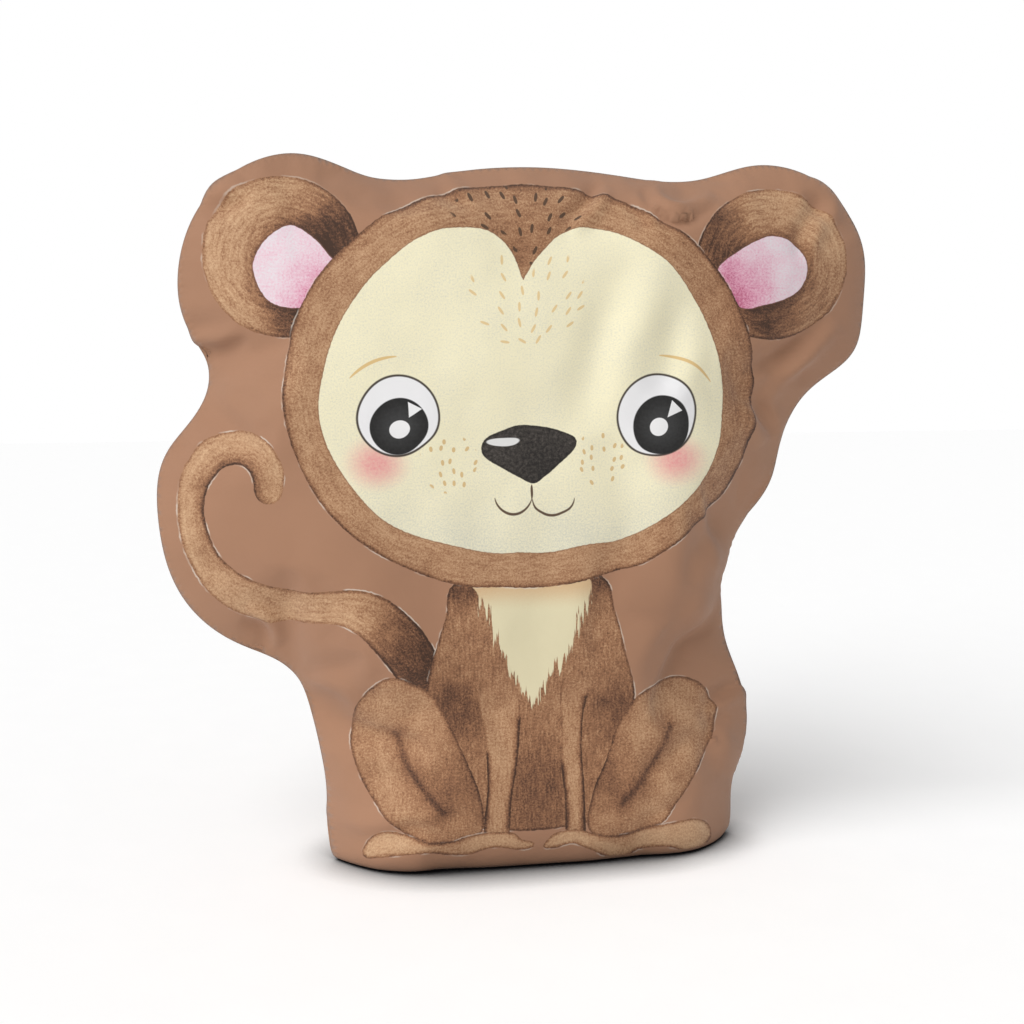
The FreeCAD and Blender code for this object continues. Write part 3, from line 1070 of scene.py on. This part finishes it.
def weave_height(tree, pitch=0.42):
    """The over-and-under of fine threads, from the cloth's own flat pattern."""
    x, z, _ = stored(tree, "cloth").split()
    warp = (x * (2 * math.pi / pitch)).math("SINE")
    weft = (z * (2 * math.pi / pitch)).math("SINE")
    return warp * weft * 0.5 + noise(stored(tree, "cloth"), 1.6, 3) * 0.6


def stitch_pinch(tree):
    """A dimple where each seam stitch pulls on the folded edge."""
    depth, run, _ = stored(tree, "seam").split()
    beat = (run * (PINCHES * 2 * math.pi)).math("SINE")
    return beat * depth.rise(5.0, 0.5) * depth.rise(-0.5, 0.5)


def cloth_surface(tree, colour):
    """A matt woven cloth of that colour: soft unevenness, the pinch of the stitches, and the weave on top."""
    cloth = stored(tree, "cloth")
    uneven = noise(cloth, 0.06, 3)
    soft = bump(noise(cloth, 0.035, 2, 0.4), 0.6, 2.2 * MM)
    pinch = bump(stitch_pinch(tree), 0.3, 0.3 * MM, soft)
    weave = bump(weave_height(tree), 0.35, 0.15 * MM, pinch)
    dress(tree, Base_Color=mixed(colour, DYE, 1.0, "MULTIPLY"), Roughness=uneven * 0.2 + 0.62, Normal=weave,
          Sheen_Weight=0.12, Sheen_Roughness=0.5, Specular_IOR_Level=0.25)


def printed_cloth():
    material, tree = new_material("printed_cloth")
    cloth_surface(tree, print_colour(tree))
    return material


def plain_cloth():
    material, tree = new_material("plain_cloth")
    p = stored(tree, "cloth")
    shade = noise(p, 0.012, 3) * 0.6 + noise(p, 1.3, 2) * 0.2 + 0.1
    cloth_surface(tree, shade.ramp(((0.2, (160, 121, 96)), (0.8, (180, 140, 113)))))
    return material


def sewing_thread():
    material, tree = new_material("sewing_thread")
    place = object_place(tree)
    twist = place.vector("DOT_PRODUCT", (9000.0, 9000.0, 9000.0)).math("SINE")
    colour = (noise(place, 900, 2) * 0.8 + 0.1).ramp(((0, (150, 112, 88)), (1, (188, 150, 122))))
    dress(tree, Base_Color=colour, Roughness=noise(place, 1500, 2) * 0.3 + 0.35,
          Normal=bump(twist, 0.6, 0.06 * MM), Sheen_Weight=0.2)
    return material


def fibre():
    material, tree = new_material("fibre")
    place = object_place(tree)
    drift = noise(place, 40, 2)
    strands = noise(place.vector("MULTIPLY", (1.0, 0.35, 1.0)), 420, 5, 0.75)
    colour = (strands * 0.7 + drift * 0.3).ramp(((0.2, (214, 212, 206)), (0.7, (246, 245, 241))))
    dress(tree, Base_Color=colour, Roughness=strands * 0.2 + 0.75, Normal=bump(strands, 0.8, 1.2 * MM),
          Sheen_Weight=0.35)
    return material


# ==== pieces inside the cover ====
def stitch_rod(start, end, bow, radius, sides=6, rings=5):
    """Points and faces of one stitch: a short bowed round rod with rounded ends."""
    start, end, bow = Vector(start), Vector(end), Vector(bow)
    along = (end - start).normalized()
    side = along.orthogonal().normalized()
    other = along.cross(side)
    points, faces = [], []
    for i in range(rings):
        t = i / (rings - 1)
        width = radius * (0.45 + 0.55 * math.sin(math.pi * min(max(t, 0.08), 0.92)) ** 0.4)
        centre = start.lerp(end, t) + bow * (1 - (2 * t - 1) ** 2)
        for j in range(sides):
            angle = 2 * math.pi * j / sides
            points.append(centre + (side * math.cos(angle) + other * math.sin(angle)) * width)
    for i in range(rings - 1):
        for j in range(sides):
            k = (j + 1) % sides
            faces.append((i * sides + j, i * sides + k, (i + 1) * sides + k, (i + 1) * sides + j))
    faces.append(tuple(range(sides))[::-1])
    faces.append(tuple((rings - 1) * sides + j for j in range(sides)))
    return points, faces


def gather(name, rods):
    points, faces = [], []
    for rod_points, rod_faces in rods:
        faces += [tuple(i + len(points) for i in face) for face in rod_faces]
        points += rod_points
    obj = new_object(name, points, faces)
    obj.data.shade_smooth()
    return obj


def seam_thread(name, rim, side):
    """One thread of the machine seam: a row of short stitches on its own panel's turned-in edge."""
    line = np.vstack([rim, rim[:1]])
    run = walked(line)
    count = int(run[-1] / STITCH)
    rods = []
    for i in range(count):
        ends = []
        for t in (i + 0.1, i + 0.9):
            at = t / count * run[-1]
            p = np.array([np.interp(at, run, line[:, k]) for k in range(3)])
            ahead = np.array([np.interp(at + MM, run, line[:, k]) for k in range(3)]) - p
            inward = np.array((-ahead[2], 0, ahead[0])) / np.linalg.norm(ahead[[0, 2]])
            ends.append(p + inward * STITCH_INSET + np.array((0, side * (CLOTH + STITCH_STAND), 0)))
        rods.append(stitch_rod(ends[0], ends[1], (0, side * 0.12 * MM, 0), 0.22 * MM))
    return gather(name, rods)


def hand_thread(rim):
    """The slanted whip stitches that shut the filling hole, under the base."""
    low = rim[np.argsort(rim[:, 2])[:max(12, len(rim) // 4)]]
    low = low[np.argsort(low[:, 0])]
    rods = []
    reach = Vector((1.2 * MM, 2.6 * MM, 0))
    for i in range(HAND_STITCHES):
        x = HAND_PITCH * (i - (HAND_STITCHES - 1) / 2)
        y, z = (np.interp(x, low[:, 0], low[:, k]) for k in (1, 2))
        middle = Vector((x, y, z + 1.1 * MM))
        rods.append(stitch_rod(middle - reach, middle + reach, (0, 0, -0.8 * MM), 0.25 * MM, rings=9))
    return gather("closing_stitches", rods)


def wad(node, name, cover, seam):
    """A lumpy wad of loose fibre: the CAD wad, kneaded, and kept clear of the cover and its turned edge."""
    obj = bpy.data.objects.new(name, node.data.copy())
    obj.matrix_world = node.matrix_world
    bpy.context.scene.collection.objects.link(obj)
    obj.data.materials.clear()
    grid = obj.modifiers.new("Even", "REMESH")
    grid.mode = "VOXEL"
    grid.voxel_size = WAD_CELL
    apply_modifiers(obj)
    points = positions(obj.data)
    normals = vertex_normals(obj.data)
    draw = np.random.default_rng(SEED + 40)
    lumps = np.zeros(len(points))
    for size in (55, 34, 21, 13):
        heading = draw.normal(size=(3, 3))
        heading /= np.linalg.norm(heading, axis=1)[:, None]
        phase = draw.uniform(0, 2 * math.pi, 3)
        lumps += size / 30 * np.prod(np.sin(points @ heading.T / (size * MM) * 2 * math.pi + phase), axis=1)
    points += normals * ((lumps - 2.0) * MM)[:, None]
    for _ in range(4):
        for i, p in enumerate(points):
            beside, normal, _, _ = cover.find_nearest(Vector(p))
            if (Vector(p) - beside).dot(normal) > -WAD_CLEARANCE:
                points[i] = beside - normal * WAD_CLEARANCE
        points = eased(obj.data, points)
    for i, p in enumerate(points):
        beside, _, gap = seam.find(Vector(p))
        if gap < RIM_CLEARANCE:
            points[i] = beside + (Vector(p) - beside) * (RIM_CLEARANCE / max(gap, MM / 10))
    move_to(obj.data, points)
    return obj


# ==== putting it together ====
def finish_piece(obj, material, node):
    obj.data.materials.clear()
    obj.data.materials.append(material)
    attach(obj, "root")
    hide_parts(node)


def build_cushion():
    rim = pattern_outline()
    inner, faces = pattern_mesh(rim)
    n, m = len(rim), len(inner)
    sewn = np.vstack([faces, np.where(faces < n, faces, faces + m)[:, ::-1]])
    shaped = sway_seam(fit_to_frame(simulate(rim, inner, sewn), rim), rim, inner)
    cover = BVHTree.FromPolygons([Vector(p) for p in shaped], sewn.tolist())
    cloth = {-1: printed_cloth(), 1: plain_cloth()}
    for side, name, node, slot, picked in (
        (-1, "front_cloth", "front_panel", "printed_cloth", shaped[:n + m]),
        (1, "back_cloth", "back_panel", "plain_cloth", np.vstack([shaped[:n], shaped[n + m:]])),
    ):
        obj = panel(name, picked, faces, (rim, inner), side)
        crumple(obj, side)
        if side < 0:
            lay_out_print(obj)
        thicken(obj)
        finish_piece(obj, cloth[side], node)
    thread = sewing_thread()
    seam = shaped[:n]
    finish_piece(seam_thread("needle_stitches", seam, -1), thread, "needle_thread")
    finish_piece(seam_thread("bobbin_stitches", seam, 1), thread, "bobbin_thread")
    finish_piece(hand_thread(seam), thread, "closing_thread")
    filling = fibre()
    seam_points = KDTree(n)
    for i, p in enumerate(seam):
        seam_points.insert(Vector(p), i)
    seam_points.balance()
    for place in ("left_ear", "right_ear", "tail", "head", "torso"):
        node = place + "_fill"
        finish_piece(wad(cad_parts[node], place + "_wad", cover, seam_points), filling, node)


def build_studio():
    floor = new_object("floor", [(-4, -4, 0), (4, -4, 0), (4, 4, 0), (-4, 4, 0)], [(0, 1, 2, 3)])
    material, tree = new_material("floor")
    paper = noise(object_place(tree), 30, 2)
    white = paper.ramp(((0, (247, 247, 247)), (1, (250, 250, 250))))
    # painted contact shadow: an occlusion node darkens the floor's colour and its glow near the cushion's
    # base
    contact = tree.nodes.new("ShaderNodeAmbientOcclusion")
    contact.samples = 8
    contact.inputs["Distance"].default_value = CONTACT_REACH
    painted_contact_shadow = Wire(tree, contact.outputs["AO"]).ramp(((0.25, (24, 24, 26)), (0.9, (255, 255, 255))))
    white = white.vector("MULTIPLY", painted_contact_shadow)
    dress(tree, Base_Color=white, Roughness=0.9, Specular_IOR_Level=0.1, Emission_Color=white,
          Emission_Strength=FLOOR_GLOW)
    floor.data.materials.append(material)
    world = bpy.data.worlds.new("studio")
    bpy.context.scene.world = world
    world.use_nodes = True
    tree = world.node_tree
    seen = Wire(tree, tree.nodes.new("ShaderNodeLightPath").outputs["Is Camera Ray"])
    plug(tree, (1, 1, 1, 1), tree.nodes["Background"].inputs["Color"])
    plug(tree, seen * (1 - AMBIENT) + AMBIENT, tree.nodes["Background"].inputs["Strength"])
    light = bpy.data.lights.new("key", "SUN")
    light.energy = KEY
    light.angle = KEY_SPREAD
    key = bpy.data.objects.new("key", light)
    key.rotation_euler = KEY_FROM.to_track_quat("Z", "Y").to_euler()
    bpy.context.scene.collection.objects.link(key)


def build_camera():
    camera = bpy.data.objects.new("camera", bpy.data.cameras.new("camera"))
    camera.data.lens = LENS
    camera.data.sensor_width = 36
    camera.location = EYE
    camera.rotation_euler = (math.pi / 2 - PITCH, 0, -YAW)
    bpy.context.scene.collection.objects.link(camera)
    bpy.context.scene.camera = camera


build_cushion()
build_studio()
build_camera()
bpy.context.scene.view_settings.view_transform = "Standard"
